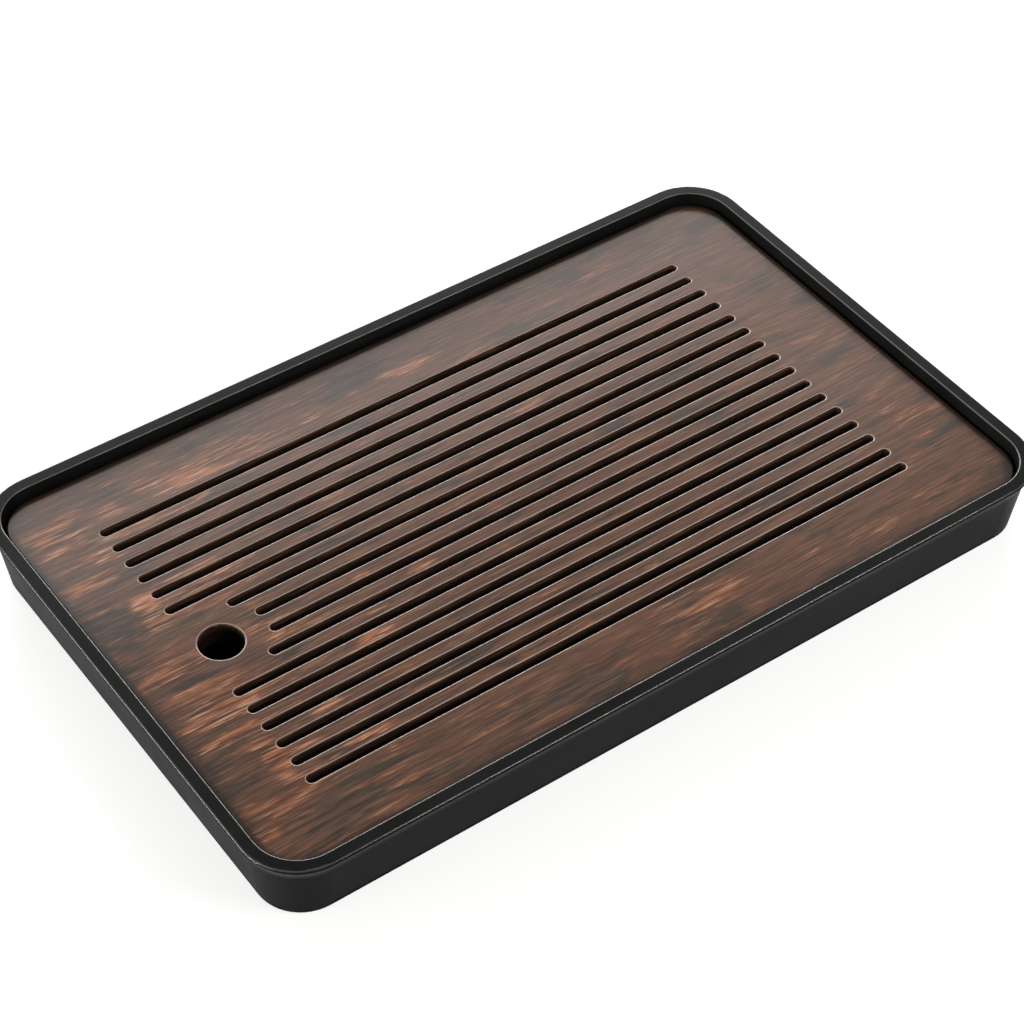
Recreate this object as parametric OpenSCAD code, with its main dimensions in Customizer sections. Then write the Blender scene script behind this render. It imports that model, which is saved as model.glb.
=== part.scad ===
/* [Tray] */
// Outside length of the rim, from end to end
tray_length = 350; // [310:1:430]
// Outside width of the rim, from front to back
tray_width = 220; // [200:1:280]
// Height of the rim's top above the table, feet included
tray_height = 30; // [28:0.5:40]
// Radius of the rim's outer corners, seen from above
corner_radius = 23; // [20:0.5:36]
// Width of the rim's top, from its outer edge to the inner wall
rim_width = 5.3; // [4.8:0.1:7]
// Thickness of the rim's lip at its outer edge
lip_thickness = 1.3; // [1:0.1:2]
// How far the lip flares out beyond the outer wall
lip_overhang = 2; // [1.2:0.1:2.6]
// Height over which the lip flares out
lip_drop = 3.4; // [3:0.1:5]
// How far the outer wall leans in from the lip's flare down to the base
outer_lean = 3.2; // [1:0.1:4]
// How far the inner wall leans in from the rim down to the ledge
inner_lean = 1; // [0.4:0.1:2.4]
// How far the well's wall leans in from the ledge down to the floor
well_lean = 1; // [0.4:0.1:2]
// Width of the ledge that carries the board
ledge_width = 3; // [2.4:0.1:5]
// Thickness of the tray's floor
floor_thickness = 3; // [2.2:0.1:4]

/* [Tray edges] */
// Rounding of the rim's outer top edge
rim_outer_round = 0.9; // [0.3:0.05:0.95]
// Rounding of the rim's inner top edge
rim_inner_round = 0.7; // [0.5:0.05:1.8]
// Hollow rounding where the lip's flare meets the outer wall
lip_flare_round = 10; // [4:0.5:12]
// Rounding of the base's outer edge
base_round = 1.5; // [1:0.1:4]
// Hollow rounding between the well's wall and the floor
well_round = 2.5; // [1:0.1:3.5]

/* [Board] */
// Thickness of the bamboo board
board_thickness = 10; // [8:0.5:12]
// Depth of the board's top below the rim
board_recess = 5; // [3:0.5:7]
// Gap all round between the board's edge and the inner wall at the ledge
board_side_gap = 0.5; // [0.3:0.1:1.5]
// Gap between the board's underside and the ledge
board_rest_gap = 0.3; // [0.2:0.05:0.5]
// Rounding of the board's top edge
board_edge_round = 0.6; // [0.4:0.1:2]

/* [Slots] */
// Number of drainage slots, side by side across the board
slot_count = 16; // [8:2:16]
// Width of a slot
slot_width = 3.8; // [3:0.1:4]
// Distance between the centre lines of neighbouring slots
slot_pitch = 9.55; // [8:0.05:11]
// Distance from the board's left edge to the long slots
slot_left_margin = 29; // [20:0.2:60]
// Distance from the board's right edge to all slots
slot_right_margin = 36.4; // [20:0.2:60]
// Rounding of the slots' top edges
slot_edge_round = 0.7; // [0.2:0.05:0.9]

/* [Finger hole] */
// Diameter of the hole that the board is lifted by
hole_diameter = 17; // [14:0.5:22]
// Distance from the board's left edge to the hole's centre
hole_margin = 38; // [30:0.2:60]
// Radius of the plain ring round the hole where the middle slots stop
hole_clear_radius = 18.4; // [16:0.2:26]
// Rounding of the hole's top and bottom edges
hole_edge_round = 0.9; // [0.2:0.1:1.2]

/* [Floor posts] */
// Number of posts that carry the middle of the board
post_count = 3; // [1:1:5]
// Distance between neighbouring posts, along the tray
post_spacing = 75; // [40:1:80]
// Diameter of a post at its top
post_diameter = 10; // [7:0.5:14]
// How much wider a post is at the floor than at its top
post_flare = 1.5; // [0.4:0.1:3]

/* [Feet] */
// Diameter of a rubber foot
foot_diameter = 12; // [8:0.5:16]
// Thickness of a rubber foot
foot_thickness = 2; // [1.6:0.1:3]
// Depth of the pocket in the tray's underside that a foot is glued in
foot_pocket_depth = 1.2; // [0.8:0.1:1.4]
// Gap round a foot in its pocket
foot_clearance = 0.15; // [0.1:0.05:0.4]
// Distance from the rim's outer edges to a foot's centre
foot_inset = 28; // [24:0.5:45]
// Bevel round a foot's sole
foot_bevel = 0.4; // [0.2:0.1:0.6]

/* [Hidden] */
$fn = 96;
tray_black = "#1d1d1c";
bamboo_brown = "#5a4138";
rubber_grey = "#2e2e2e";
// Overshoot that lets a cut run clean through a face
cut_over = 1;

// Heights above the table
base_z = foot_thickness - foot_pocket_depth;
floor_z = base_z + floor_thickness;
board_top_z = tray_height - board_recess;
board_bottom_z = board_top_z - board_thickness;
ledge_z = board_bottom_z - board_rest_gap;
lip_z = tray_height - lip_thickness;

// Distances in from the rim's outer edge
base_in = lip_overhang + outer_lean;
ledge_outer_in = rim_width + inner_lean;
ledge_inner_in = ledge_outer_in + ledge_width;
well_foot_in = ledge_inner_in + well_lean;
floor_joint_in = well_foot_in + well_round + cut_over;
board_in = ledge_outer_in + board_side_gap;

// The board's own measures
board_left_x = board_in - tray_length / 2;
board_right_x = tray_length / 2 - board_in;
long_slot_x = board_left_x + slot_left_margin;
slot_end_x = board_right_x - slot_right_margin;
hole_x = board_left_x + hole_margin;
foot_radius = foot_diameter / 2;

// Corners of the tray's wall section: distance in from the rim's edge, height
rim_outer = [0, tray_height];
lip_tip = [0, lip_z];
lip_root = [lip_overhang, lip_z - lip_drop];
base_edge = [base_in, base_z];
floor_joint_low = [floor_joint_in, base_z];
floor_joint_high = [floor_joint_in, floor_z];
well_foot = [well_foot_in, floor_z];
ledge_inner = [ledge_inner_in, ledge_z];
ledge_outer = [ledge_outer_in, ledge_z];
rim_inner = [rim_width, tray_height];

function unit(v) = v / norm(v);

// Half the angle at a corner of an outline between its neighbours before and after
function half_angle(corner, before, after) =
    acos(unit(before - corner) * unit(after - corner)) / 2;

// Point on the side toward before where a rounding of this radius begins
function rounding_start(corner, before, after, radius) =
    corner + unit(before - corner) * radius / tan(half_angle(corner, before, after));

function rounding_centre(corner, before, after, radius) =
    corner
        + unit(unit(before - corner) + unit(after - corner))
            * radius / sin(half_angle(corner, before, after));

// Left end of the slot on the line at distance y from the board's middle
function slot_start_x(y) =
    abs(y) < hole_clear_radius
        ? max(long_slot_x, hole_x + sqrt(pow(hole_clear_radius, 2) - y * y))
        : long_slot_x;

// What a rounding of this radius takes off, or fills in, at a corner of an outline
module corner_bit(corner, before, after, radius) {
    centre = rounding_centre(corner, before, after, radius);
    difference() {
        polygon([
            corner,
            rounding_start(corner, before, after, radius),
            centre,
            rounding_start(corner, after, before, radius)
        ]);
        translate(centre) circle(radius);
    }
}

// Rounded rectangle at this distance in from the rim's outer edge
module plan_outline(inset) {
    radius = corner_radius - inset;
    length = tray_length - 2 * inset;
    width = tray_width - 2 * inset;
    square([length - 2 * radius, width], center = true);
    square([length, width - 2 * radius], center = true);
    for (x = [-1, 1], y = [-1, 1])
        translate([x * (length / 2 - radius), y * (width / 2 - radius)])
            circle(radius);
}

// Sweeps a section round the tray; the section's x is the distance in from the rim's edge
module swept_round_rim() {
    for (side = [0:3]) {
        across = (side % 2 == 0 ? tray_length : tray_width) / 2;
        along = (side % 2 == 0 ? tray_width : tray_length) / 2 - corner_radius;
        rotate([0, 0, 90 * side]) {
            translate([across, along, 0])
                rotate([90, 0, 0])
                    linear_extrude(2 * along)
                        mirror([1, 0]) children();
            translate([across - corner_radius, along, 0])
                rotate_extrude(angle = 90)
                    translate([corner_radius, 0])
                        mirror([1, 0]) children();
        }
    }
}

// Section through the rim, the walls, the ledge and the floor's edge
module tray_section() {
    difference() {
        polygon([
            rim_outer,
            lip_tip,
            rounding_start(lip_root, lip_tip, base_edge, lip_flare_round),
            rounding_start(lip_root, base_edge, lip_tip, lip_flare_round),
            base_edge,
            floor_joint_low,
            floor_joint_high,
            well_foot,
            ledge_inner,
            ledge_outer,
            rim_inner
        ]);
        translate(rounding_centre(lip_root, lip_tip, base_edge, lip_flare_round))
            circle(lip_flare_round);
        corner_bit(rim_outer, lip_tip, rim_inner, rim_outer_round);
        corner_bit(rim_inner, rim_outer, ledge_outer, rim_inner_round);
        corner_bit(base_edge, lip_root, floor_joint_low, base_round);
    }
    corner_bit(well_foot, floor_joint_high, ledge_inner, well_round);
}

// Puts children at each of the tray's four foot places
module at_foot(x_side, y_side) {
    translate([
        x_side * (tray_length / 2 - foot_inset),
        y_side * (tray_width / 2 - foot_inset),
        0
    ])
        children();
}

module floor_posts() {
    for (i = [0:post_count - 1])
        translate([(i - (post_count - 1) / 2) * post_spacing, 0, base_z])
            cylinder(h = ledge_z - base_z, d1 = post_diameter + post_flare, d2 = post_diameter);
}

// Moulded tray with an overhanging lip, a ledge for the board and a well for the water
module base_tray() {
    color(tray_black)
        difference() {
            union() {
                swept_round_rim() tray_section();
                translate([0, 0, base_z])
                    linear_extrude(floor_thickness) plan_outline(floor_joint_in);
                floor_posts();
            }
            for (x_side = [-1, 1], y_side = [-1, 1])
                at_foot(x_side, y_side)
                    translate([0, 0, base_z - cut_over])
                        cylinder(h = foot_pocket_depth + cut_over, r = foot_radius + foot_clearance);
        }
}

// Takes off, in section, the edge of a cut through the board at this half-width
module cut_edge(half_width, edge_z, far_z, edge_round) {
    corner_bit([half_width, edge_z], [half_width, far_z], [2 * half_width, edge_z], edge_round);
}

// Half the section of a cut through the board, from the cut's middle out to its rounded edge
module half_cut(half_width, edge_round) {
    translate([0, board_bottom_z - cut_over])
        square([half_width, board_thickness + 2 * cut_over]);
    cut_edge(half_width, board_top_z, board_bottom_z, edge_round);
}

// Cut for one slot with round ends and a rounded top edge, along X
module slot_cut(start_x, end_x) {
    radius = slot_width / 2;
    translate([start_x + radius, 0, 0])
        rotate([90, 0, 90])
            linear_extrude(end_x - start_x - slot_width) {
                half_cut(radius, slot_edge_round);
                mirror([1, 0]) half_cut(radius, slot_edge_round);
            }
    translate([start_x + radius, 0, 0])
        rotate([0, 0, 90])
            rotate_extrude(angle = 180) half_cut(radius, slot_edge_round);
    translate([end_x - radius, 0, 0])
        rotate([0, 0, -90])
            rotate_extrude(angle = 180) half_cut(radius, slot_edge_round);
}

module finger_hole_cut() {
    radius = hole_diameter / 2;
    translate([hole_x, 0, 0])
        rotate_extrude() {
            half_cut(radius, hole_edge_round);
            cut_edge(radius, board_bottom_z, board_top_z, hole_edge_round);
        }
}

// Loose bamboo board with routed drainage slots and a finger hole
module slotted_board() {
    color(bamboo_brown)
        difference() {
            translate([0, 0, board_bottom_z])
                linear_extrude(board_thickness) plan_outline(board_in);
            swept_round_rim()
                corner_bit(
                    [board_in, board_top_z],
                    [board_in, board_bottom_z],
                    [ledge_inner_in, board_top_z],
                    board_edge_round
                );
            for (i = [0:slot_count - 1]) {
                y = (i - (slot_count - 1) / 2) * slot_pitch;
                translate([0, y, 0]) slot_cut(slot_start_x(y), slot_end_x);
            }
            finger_hole_cut();
        }
}

// Round rubber foot, glued in its pocket
module foot(x_side, y_side) {
    color(rubber_grey)
        at_foot(x_side, y_side) {
            cylinder(h = foot_bevel, r1 = foot_radius - foot_bevel, r2 = foot_radius);
            translate([0, 0, foot_bevel])
                cylinder(h = foot_thickness - foot_bevel, r = foot_radius);
        }
}

module front_left_foot() {
    foot(-1, -1);
}

module front_right_foot() {
    foot(1, -1);
}

module rear_left_foot() {
    foot(-1, 1);
}

module rear_right_foot() {
    foot(1, 1);
}

base_tray();
slotted_board();
front_left_foot();
front_right_foot();
rear_left_foot();
rear_right_foot();
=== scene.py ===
"""Looks of the gongfu tea tray: materials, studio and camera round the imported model."""

import math

import bpy
from mathutils import Matrix, Vector


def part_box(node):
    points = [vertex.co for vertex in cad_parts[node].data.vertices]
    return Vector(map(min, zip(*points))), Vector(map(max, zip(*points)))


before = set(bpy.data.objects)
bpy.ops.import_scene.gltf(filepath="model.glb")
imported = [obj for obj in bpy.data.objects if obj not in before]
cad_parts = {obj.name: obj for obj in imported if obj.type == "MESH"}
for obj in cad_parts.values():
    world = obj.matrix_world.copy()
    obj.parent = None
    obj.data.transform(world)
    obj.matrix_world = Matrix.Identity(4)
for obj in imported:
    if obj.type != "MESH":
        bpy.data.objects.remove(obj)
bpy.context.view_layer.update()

MM = 0.001


def colour(red, green, blue):
    """Linear colour with full alpha."""
    return (red, green, blue, 1.0)


# Camera at the photograph's viewing angle: degrees, metres and millimetres of lens
CAMERA_AZIMUTH = -35.962
CAMERA_ELEVATION = 45.227
CAMERA_ROLL = 0.752
CAMERA_TARGET = (0.00752, 0.01333, 0.00045)
CAMERA_DISTANCE = 1.0472
CAMERA_LENS = 94.65
CAMERA_SENSOR = 36.0
CAMERA_CLIP_START = 0.01

# Bamboo board
BOARD_CORNER = 16.0 * MM
BROWN = colour(0.148, 0.070, 0.042)
DARK_PATCH = colour(0.062, 0.046, 0.033)
WARM_PATCH = colour(0.340, 0.118, 0.054)
BRIGHT_STREAK = colour(0.54, 0.215, 0.105)
DARK_STREAK = colour(0.045, 0.026, 0.018)
PALE_THREAD = colour(0.76, 0.44, 0.27)
KNOT_RED = colour(0.17, 0.055, 0.032)
# Pale worn edge colour, partly real wear and partly a painted highlight
WORN_AND_HIGHLIT_WOOD = colour(0.66, 0.54, 0.46)
# Darkening in patches along the board's edge, and painted shade of the tray's wall
BORDER_DARKENING_AND_SHADE = colour(0.020, 0.015, 0.011)
SLOT_LIP_DARK = colour(0.050, 0.028, 0.018)
SLOT_LIP_LIGHT = colour(0.170, 0.085, 0.052)
# Painted shade deep in the slots and the hole
SLOT_PAINTED_SHADE = colour(0.018, 0.011, 0.008)
SAWN_SIDE = colour(0.060, 0.032, 0.021)

# Tray and feet
RIM_CORNER = 23.0 * MM
PLASTIC_BLACK = colour(0.0075, 0.0075, 0.0070)
# Painted highlights on the rim's rounded edges
OUTER_EDGE_PAINTED_HIGHLIGHT = colour(0.070, 0.069, 0.065)
INNER_EDGE_PAINTED_HIGHLIGHT = colour(0.150, 0.148, 0.142)
# Painted reflection in the hollow under the lip
FLARE_PAINTED_REFLECTION = colour(0.060, 0.060, 0.057)
RUBBER_GREY = colour(0.03, 0.03, 0.03)
FEET = ("front_left_foot", "front_right_foot", "rear_left_foot", "rear_right_foot")

# Studio: reach of the floor in metres, and strengths of 1 for white
FLOOR_REACH = 4.0
FLOOR_GREY = colour(0.5, 0.5, 0.495)
STUDIO_WHITE = colour(1.0, 1.0, 0.99)
FLOOR_SEEN_GLOW = 0.76
FLOOR_MIRRORED_GLOW = 0.20
WORLD_LIGHT = 0.25

# Soft ovals on the board: centre x, y and half-length, half-width in millimetres, strength
WARM_AREAS = (
    (-153, 76, 14, 9, 1.0),
    (-146, 62, 10, 5, 1.0),
    (-152, 52, 14, 5, 0.5),
    (-144, 26, 6, 13, 0.8),
    (-153, -5, 16, 6, 0.8),
    (-150, -27, 17, 9, 1.1),
    (-152, -40, 17, 4, 1.2),
    (-143, -57, 6, 16, 1.0),
    (-150, -76, 14, 4, 0.7),
    (-128, 79, 9, 3, 0.8),
    (-78, 80, 38, 7, 1.3),
    (-114, 86, 12, 3, 0.9),
    (-120, 66, 20, 3, 0.35),
    (-120, 37, 22, 3, 0.9),
    (-118, 28, 20, 3, 0.7),
    (-69, -1, 9, 3, 0.7),
    (-78, -20, 8, 3, 0.8),
    (-86, -31, 11, 6, 0.9),
    (-118, -48, 15, 3, 0.5),
    (-128, -57, 14, 3, 0.6),
    (-110, -67, 17, 3, 0.9),
    (-104, -78, 9, 3, 0.7),
    (0, 84, 30, 5, 0.5),
    (35, 77, 26, 3, 0.4),
    (80, 90, 50, 7, 0.3),
    (0, 30, 12, 3, 0.9),
    (34, 38, 18, 3, 0.6),
    (150, 2, 16, 12, 0.35),
    (20, -84, 28, 13, 0.9),
    (95, -88, 45, 8, 0.5),
    (148, -50, 14, 30, 0.4),
)
DARK_AREAS = (
    (-160, 31, 13, 12, 1.0),
    (-161, 10, 9, 9, 0.7),
    (-159, -47, 11, 4, 0.6),
    (-160, -62, 12, 6, 0.9),
    (-122, -81, 22, 5, 0.8),
    (-94, -28, 6, 4, 0.8),
    (-129, 89, 12, 4, 0.7),
    (-140, -90, 24, 9, 1.3),
    (-92, 93, 14, 5, 0.6),
    (-36, -94, 22, 8, 0.9),
    (-20, 93, 34, 6, 0.6),
    (60, 78, 30, 4, 0.5),
    (-60, -57, 26, 4, 0.6),
    (-66, -90, 24, 8, 0.6),
    (60, -58, 30, 5, 0.4),
    (150, 84, 16, 10, 0.4),
)
# Bamboo's own nodes, where the fibres knot
FIBRE_KNOTS = (
    (-90, -27, 5, 13, 1.0),
    (-24, -88, 5, 14, 1.0),
    (-93, 93, 4, 9, 1.0),
    (62, -9, 5, 12, 1.0),
    (-150, 72, 6, 12, 1.0),
    (118, 86, 4, 14, 1.0),
    (146, -40, 5, 14, 1.0),
)


class Shader:
    """One node material, with short calls for the nodes that it is made of."""

    def __init__(self, name):
        self.material = bpy.data.materials.new(name)
        self.material.use_nodes = True
        self.tree = self.material.node_tree
        self.surface = self.tree.nodes["Principled BSDF"]

    def put(self, socket, value):
        """Links a node's output to the socket, or sets the socket's own value."""
        if isinstance(value, bpy.types.NodeSocket):
            self.tree.links.new(value, socket)
        else:
            socket.default_value = value

    def node(self, kind, inputs=None, **settings):
        made = self.tree.nodes.new(kind)
        for name, value in settings.items():
            setattr(made, name, value)
        for key, value in (inputs or {}).items():
            self.put(made.inputs[key], value)
        return made

    def finish(self, **sockets):
        """Sets the surface's sockets, written with _ for a space."""
        for name, value in sockets.items():
            self.put(self.surface.inputs[name.replace("_", " ")], value)
        return self.material

    def place(self):
        """The point on the object, in metres."""
        return self.node("ShaderNodeTexCoord").outputs["Object"]

    def normal(self):
        """The surface's own direction, before any bump."""
        return self.node("ShaderNodeNewGeometry").outputs["Normal"]

    def split(self, vector):
        return self.node("ShaderNodeSeparateXYZ", {0: vector}).outputs

    def join(self, *parts):
        return self.node("ShaderNodeCombineXYZ", dict(enumerate(parts))).outputs[0]

    def calc(self, operation, *values):
        made = self.node("ShaderNodeMath", dict(enumerate(values)), operation=operation)
        return made.outputs[0]

    def total(self, *values):
        result = values[0]
        for value in values[1:]:
            result = self.calc("ADD", result, value)
        return result

    def product(self, *values):
        result = values[0]
        for value in values[1:]:
            result = self.calc("MULTIPLY", result, value)
        return result

    def vector_calc(self, operation, *values):
        made = self.node("ShaderNodeVectorMath", dict(enumerate(values)), operation=operation)
        return made.outputs[0]

    def length(self, vector):
        made = self.node("ShaderNodeVectorMath", {0: vector}, operation="LENGTH")
        return made.outputs["Value"]

    def noise(self, vector, detail=2.0, roughness=0.5):
        made = self.node(
            "ShaderNodeTexNoise",
            {"Vector": vector, "Scale": 1.0, "Detail": detail, "Roughness": roughness},
        )
        return made.outputs["Fac"]

    def step(self, value, low, high, to_low=0.0, to_high=1.0):
        """Smooth step from to_low at low up to to_high at high."""
        made = self.node(
            "ShaderNodeMapRange",
            {0: value, 1: low, 2: high, 3: to_low, 4: to_high},
            interpolation_type="SMOOTHSTEP",
        )
        return made.outputs[0]

    def blend(self, factor, first, second, mode="MIX"):
        made = self.node("ShaderNodeMix", data_type="RGBA", blend_type=mode)
        self.put(made.inputs["Factor"], factor)
        self.put(made.inputs[6], first)
        self.put(made.inputs[7], second)
        return made.outputs[2]

    def inset(self, half_x, half_y, rounding):
        """How far in a point lies from the edge of a rounded rectangle, in metres."""
        across = self.split(self.vector_calc("ABSOLUTE", self.place()))
        beyond = [
            self.calc("MAXIMUM", self.calc("SUBTRACT", across[axis], half - rounding), 0.0)
            for axis, half in enumerate((half_x, half_y))
        ]
        return self.calc("SUBTRACT", rounding, self.length(self.join(*beyond)))

    def bump(self, height, depth, under=None):
        """Tilts the surface by a height pattern whose full range is depth metres."""
        inputs = {"Height": height, "Distance": depth, "Strength": 1.0}
        if under is not None:
            inputs["Normal"] = under
        return self.node("ShaderNodeBump", inputs).outputs[0]


def stretched(shader, vector, length, width, shift=0.0):
    """Pattern coordinates for features of this length and width in millimetres."""
    size = (1.0 / length, 1.0 / width, 1.0 / width)
    scaled = shader.vector_calc("MULTIPLY", vector, size)
    return shader.vector_calc("ADD", scaled, (shift, shift * 0.7, shift * 0.4))


def ovals(shader, millimetres, ragged, areas, inner, outer):
    """Sum of soft ovals whose edges are torn by the ragged pattern."""
    raggedness = 1.2
    middle = 0.5 * raggedness
    parts = []
    for x, y, half_length, half_width, strength in areas:
        away = shader.vector_calc("SUBTRACT", millimetres, (x, y, 0.0))
        size = (1.0 / half_length, 1.0 / half_width, 0.0)
        reach = shader.length(shader.vector_calc("MULTIPLY", away, size))
        torn = shader.calc("MULTIPLY_ADD", ragged, raggedness, reach)
        parts.append(shader.step(torn, outer + middle, inner + middle, 0.0, strength))
    return shader.total(*parts)


def bamboo_material():
    """Dark carbonised bamboo: fibres along the slots, dark patches and warm streaks."""
    edge_x, edge_y, top_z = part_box("slotted_board")[1]
    shader = Shader("bamboo_board")
    place = shader.place()
    millimetres = shader.vector_calc("SCALE", place)
    millimetres.node.inputs["Scale"].default_value = 1.0 / MM
    along = shader.split(millimetres)["X"]

    # The fibres wander a little, and more so at a knot
    ragged = shader.noise(stretched(shader, millimetres, 14, 4, 3.0), 3.0, 0.6)
    knots = ovals(shader, millimetres, ragged, FIBRE_KNOTS, 0.2, 1.2)
    slow = shader.noise(stretched(shader, millimetres, 80, 34), 1.0)
    quick = shader.noise(stretched(shader, millimetres, 20, 8, 4.0), 2.0)
    drift = shader.total(
        shader.product(slow, 4.0),
        shader.product(quick, 0.4),
        shader.product(ragged, knots, 1.2),
    )
    grain = shader.vector_calc("ADD", millimetres, shader.join(0.0, drift))

    patches = shader.noise(stretched(shader, grain, 34, 10, 11.0), 4.0, 0.6)
    warmth = shader.noise(stretched(shader, grain, 26, 6, 23.0), 4.0, 0.62)
    streaks = shader.noise(stretched(shader, grain, 26, 2.0, 37.0), 3.0, 0.62)
    threads = shader.noise(stretched(shader, grain, 17, 0.9, 51.0), 2.0, 0.6)
    fibres = shader.noise(stretched(shader, grain, 40, 0.8, 67.0), 2.0, 0.65)

    # Larger areas: dark, or warm and then vivid, mostly at the finger hole's end
    warm = ovals(shader, millimetres, ragged, WARM_AREAS, 0.0, 1.25)
    dark = ovals(shader, millimetres, ragged, DARK_AREAS, 0.0, 1.25)
    darkness = shader.step(shader.calc("MULTIPLY_ADD", dark, 0.22, patches), 0.50, 0.66)
    left_end = shader.step(along, -70.0, -130.0, 0.0, 0.07)
    warmer = shader.calc("MULTIPLY_ADD", dark, -0.12, shader.total(warmth, left_end))
    heat = shader.step(shader.calc("MULTIPLY_ADD", warm, 0.24, warmer), 0.54, 0.76)
    calmer = shader.step(along, -90.0, 40.0, 1.0, 0.48)
    lively = shader.calc("MULTIPLY_ADD", warm, 0.5, heat)
    vivid = shader.product(shader.step(lively, 0.0, 1.3, 0.15, 1.0), calmer)
    tone = shader.blend(shader.product(darkness, 0.85), BROWN, DARK_PATCH)
    tone = shader.blend(shader.product(heat, calmer, 0.80), tone, WARM_PATCH)

    # Streaks, threads and fibres
    bright_streak = shader.product(shader.step(streaks, 0.51, 0.58), vivid, 0.85)
    tone = shader.blend(bright_streak, tone, BRIGHT_STREAK)
    dark_streak = shader.product(shader.step(streaks, 0.47, 0.41), vivid, 0.75)
    tone = shader.blend(dark_streak, tone, DARK_STREAK)
    pale_thread = shader.product(shader.step(threads, 0.55, 0.65), vivid, 0.75)
    tone = shader.blend(pale_thread, tone, PALE_THREAD)
    dark_thread = shader.product(shader.step(threads, 0.46, 0.36), 0.40)
    tone = shader.blend(dark_thread, tone, DARK_STREAK)
    knotted = shader.product(knots, shader.step(ragged, 0.45, 0.6), 0.6)
    tone = shader.blend(knotted, tone, KNOT_RED)
    lightness = shader.step(fibres, 0.32, 0.68, 0.78, 1.22)
    grey = shader.join(lightness, lightness, lightness)
    tone = shader.blend(1.0, tone, grey, "MULTIPLY")

    height = shader.split(place)["Z"]
    tilt = shader.split(shader.normal())["Z"]
    inset = shader.inset(edge_x, edge_y, BOARD_CORNER)

    # Rounded edges of the slots and the hole are worn pale, partly real wear and partly a
    # painted highlight
    worn_and_highlit_edge = shader.product(
        shader.step(tilt, 0.985, 0.95),
        shader.step(tilt, 0.65, 0.80),
        shader.step(height, top_z - 1.2 * MM, top_z - 0.8 * MM),
        shader.step(inset, 1.5 * MM, 2.5 * MM),
        0.70,
    )
    tone = shader.blend(worn_and_highlit_edge, tone, WORN_AND_HIGHLIT_WOOD)

    # The top's outer edge band is darkened in patches within 8 mm, and painted shade of the
    # tray's wall lies along its last 4 mm
    patchy_darkening = shader.product(
        shader.step(inset, 8.0 * MM, 0.5 * MM),
        shader.step(patches, 0.35, 0.60, 0.15, 0.75),
    )
    painted_wall_shade = shader.step(inset, 4.0 * MM, 1.0 * MM, 0.0, 0.90)
    border_darkening_and_shade = shader.calc("MAXIMUM", patchy_darkening, painted_wall_shade)
    border_darkening_and_shade = shader.product(border_darkening_and_shade, shader.step(tilt, 0.2, 0.6))
    tone = shader.blend(border_darkening_and_shade, tone, BORDER_DARKENING_AND_SHADE)

    # Upright walls: dark where a slot or the hole is routed, going to painted shade further down
    # inside, plain brown on the outside
    upright = shader.product(shader.step(tilt, 0.60, 0.25), shader.step(tilt, -0.60, -0.25))
    routed = shader.product(upright, shader.step(inset, 3.0 * MM, 5.0 * MM))
    lip = shader.blend(shader.step(threads, 0.48, 0.62), SLOT_LIP_DARK, SLOT_LIP_LIGHT)
    # Painted shade: the routed walls darken to near black further down
    depth = shader.step(height, top_z - 0.5 * MM, top_z - 4.0 * MM)
    tone = shader.blend(routed, tone, shader.blend(depth, lip, SLOT_PAINTED_SHADE))
    sawn = shader.product(upright, shader.step(inset, 5.0 * MM, 3.0 * MM, 0.0, 0.55))
    tone = shader.blend(sawn, tone, SAWN_SIDE)

    relief = shader.bump(threads, 0.04 * MM, shader.bump(streaks, 0.06 * MM))
    return shader.finish(
        Base_Color=tone,
        Roughness=shader.step(fibres, 0.25, 0.75, 0.40, 0.52),
        Normal=relief,
        IOR=1.15,
        Coat_Weight=1.0,
        Coat_Roughness=0.18,
        Coat_IOR=1.44,
    )


def moulded_material(name, tone, roughness, grain_mm, depth, rim=None):
    """Moulded black plastic or rubber: fine texture, faint mottling, and on a rim polished edges
    with painted highlights and a painted reflection under the lip.
    """
    shader = Shader(name)
    place = shader.place()
    fine = shader.noise(shader.vector_calc("MULTIPLY", place, (1.0 / (grain_mm * MM),) * 3), 2.0)
    broad = shader.noise(shader.vector_calc("MULTIPLY", place, (35.0,) * 3), 3.0)
    dark, light = (
        colour(*(change * part for part in tone[:3])) for change in (0.85, 1.2)
    )
    shade = shader.blend(shader.step(broad, 0.3, 0.7), dark, light)
    gloss = shader.total(
        shader.step(broad, 0.3, 0.7, roughness - 0.04, roughness + 0.04),
        shader.step(fine, 0.2, 0.8, -0.03, 0.03),
    )
    if rim is not None:
        rim_x, rim_y, rim_z = rim
        tilt = shader.split(shader.normal())["Z"]
        height = shader.split(place)["Z"]

        # Both rounded edges of the rim are polished, glossier and coated, and painted paler as a
        # painted highlight, most on the inner edge
        polished_and_highlit = shader.product(
            shader.step(tilt, 0.99, 0.94),
            shader.step(tilt, 0.45, 0.65),
            shader.step(height, rim_z - 1.5 * MM, rim_z - 1.0 * MM),
        )
        from_edge = shader.inset(rim_x, rim_y, RIM_CORNER)
        inner = shader.step(from_edge, 3.0 * MM, 4.0 * MM)
        shade = shader.blend(polished_and_highlit, shade, shader.blend(inner, OUTER_EDGE_PAINTED_HIGHLIGHT, INNER_EDGE_PAINTED_HIGHLIGHT))
        gloss = shader.calc("MULTIPLY_ADD", polished_and_highlit, -0.16, gloss)
        lacquer = shader.product(polished_and_highlit, shader.calc("MULTIPLY_ADD", inner, -0.5, 1.0))
        shader.finish(Coat_Weight=lacquer, Coat_Roughness=0.12, Coat_IOR=1.5)

        # Painted reflection: the hollow under the flared lip is painted a little paler, as if
        # mirroring the floor
        painted_flare_reflection = shader.product(shader.step(tilt, -0.20, -0.40), shader.step(tilt, -0.90, -0.75))
        shade = shader.blend(painted_flare_reflection, shade, FLARE_PAINTED_REFLECTION)
    return shader.finish(
        Base_Color=shade, Roughness=gloss, Normal=shader.bump(fine, depth), IOR=1.20
    )


def dress(node, material):
    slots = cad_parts[node].data.materials
    slots.clear()
    slots.append(material)


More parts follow.
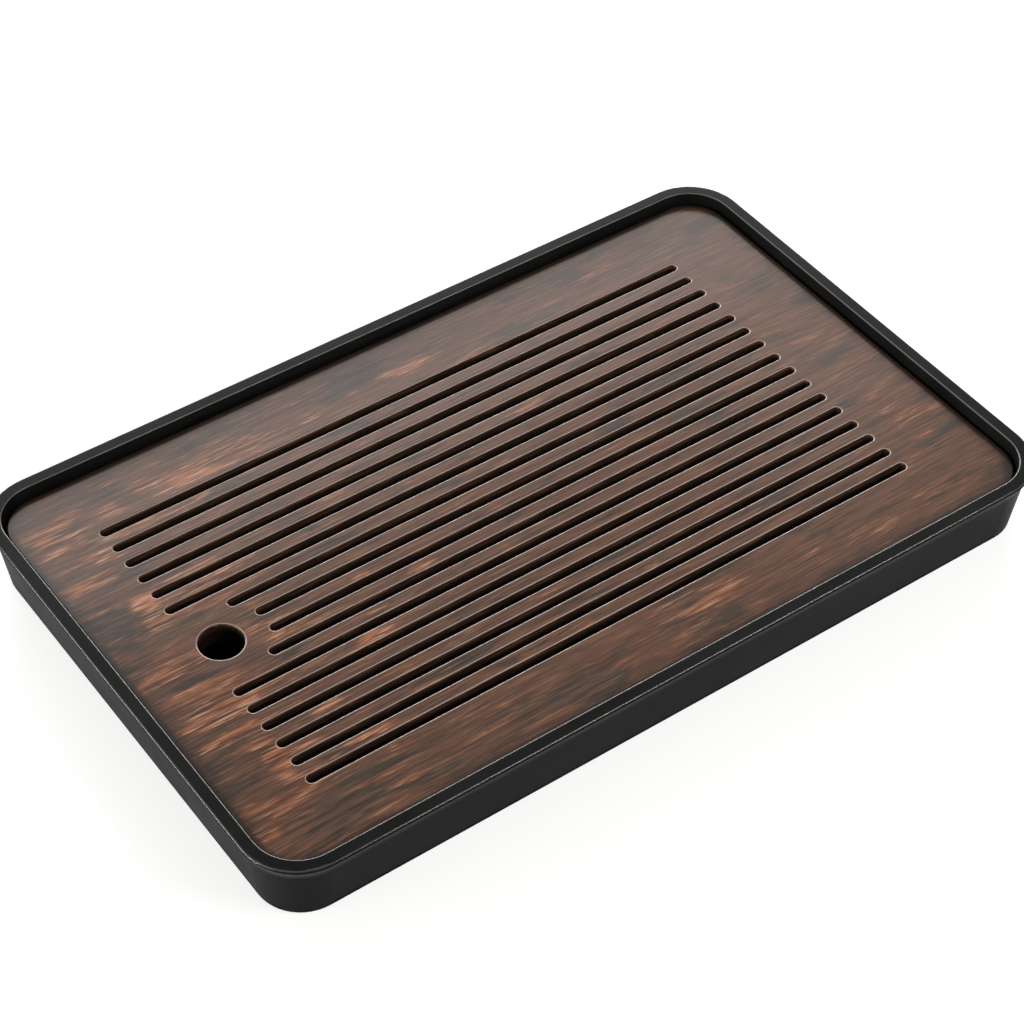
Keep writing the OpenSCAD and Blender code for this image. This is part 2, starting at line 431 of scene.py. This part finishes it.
def place_camera():
    azimuth, elevation, roll = (
        math.radians(angle) for angle in (CAMERA_AZIMUTH, CAMERA_ELEVATION, CAMERA_ROLL)
    )
    back = Vector(
        (
            math.sin(azimuth) * math.cos(elevation),
            -math.cos(azimuth) * math.cos(elevation),
            math.sin(elevation),
        )
    )
    level = Vector((math.cos(azimuth), math.sin(azimuth), 0.0))
    upward = back.cross(level)
    right = level * math.cos(roll) + upward * math.sin(roll)
    up = upward * math.cos(roll) - level * math.sin(roll)
    camera = bpy.data.objects.new("camera", bpy.data.cameras.new("camera"))
    camera.data.lens = CAMERA_LENS
    camera.data.sensor_width = CAMERA_SENSOR
    camera.data.clip_start = CAMERA_CLIP_START
    turn = Matrix((right, up, back)).transposed().to_4x4()
    stand = Matrix.Translation(Vector(CAMERA_TARGET) + back * CAMERA_DISTANCE)
    camera.matrix_world = stand @ turn
    bpy.context.scene.collection.objects.link(camera)
    bpy.context.scene.camera = camera


def softbox(name, centre, width, height, radiance, back=None):
    """Area lamp that faces the tray, or away from back; radiance 1 looks as bright as white."""
    light = bpy.data.lights.new(name, "AREA")
    light.shape = "RECTANGLE"
    light.size = width
    light.size_y = height
    light.energy = radiance * math.pi * width * height
    lamp = bpy.data.objects.new(name, light)
    lamp.location = centre
    lamp.rotation_mode = "QUATERNION"
    lamp.rotation_quaternion = Vector(back or centre).to_track_quat("Z", "Y")
    bpy.context.scene.collection.objects.link(lamp)


def surroundings():
    """Dim white world that the camera sees as plain white."""
    world = bpy.data.worlds.new("studio")
    world.use_nodes = True
    bpy.context.scene.world = world
    tree = world.node_tree
    background = tree.nodes["Background"]
    path = tree.nodes.new("ShaderNodeLightPath")
    seen = tree.nodes.new("ShaderNodeMath")
    seen.operation = "MULTIPLY_ADD"
    seen.inputs[1].default_value = 1.0 - WORLD_LIGHT
    seen.inputs[2].default_value = WORLD_LIGHT
    tree.links.new(path.outputs["Is Camera Ray"], seen.inputs[0])
    tree.links.new(seen.outputs[0], background.inputs["Strength"])
    background.inputs["Color"].default_value = STUDIO_WHITE


def pale_floor():
    """Square floor that looks white to the camera and keeps the tray's shadow."""
    corners = [
        (x * FLOOR_REACH, y * FLOOR_REACH, 0.0) for x, y in ((-1, -1), (1, -1), (1, 1), (-1, 1))
    ]
    mesh = bpy.data.meshes.new("floor")
    mesh.from_pydata(corners, [], [(0, 1, 2, 3)])
    floor = bpy.data.objects.new("floor", mesh)
    bpy.context.scene.collection.objects.link(floor)
    shader = Shader("floor_paper")
    path = shader.node("ShaderNodeLightPath").outputs
    mirrored = shader.product(path["Is Glossy Ray"], FLOOR_MIRRORED_GLOW)
    glow = shader.calc("MULTIPLY_ADD", path["Is Camera Ray"], FLOOR_SEEN_GLOW, mirrored)
    mesh.materials.append(
        shader.finish(
            Base_Color=FLOOR_GREY,
            Roughness=0.9,
            Emission_Color=STUDIO_WHITE,
            Emission_Strength=glow,
        )
    )


def studio():
    """Pale floor, dim surroundings and five soft lamps."""
    surroundings()
    from_behind = (0.0, 1.0, 0.0)
    softbox("back_softbox", (0.92, 1.0, 0.57), 2.0, 1.14, 2.2, from_behind)
    softbox("right_softbox", (1.45, 1.0, 1.31), 0.8, 0.26, 1.6, from_behind)
    softbox("low_back_softbox", (0.55, 0.99, 0.19), 2.0, 0.22, 9.0, from_behind)
    softbox("left_softbox", (-1.17, 0.17, 0.13), 1.4, 0.20, 14.0)
    softbox("front_softbox", (0.53, -0.90, 0.78), 0.60, 0.10, 27.0)
    pale_floor()


place_camera()
dress("slotted_board", bamboo_material())
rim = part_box("base_tray")[1]
dress("base_tray", moulded_material("black_plastic", PLASTIC_BLACK, 0.36, 0.5, 0.01 * MM, rim))
rubber = moulded_material("grey_rubber", RUBBER_GREY, 0.7, 0.3, 0.03 * MM)
for foot in FEET:
    dress(foot, rubber)
studio()

bpy.context.scene.view_settings.view_transform = "Standard"
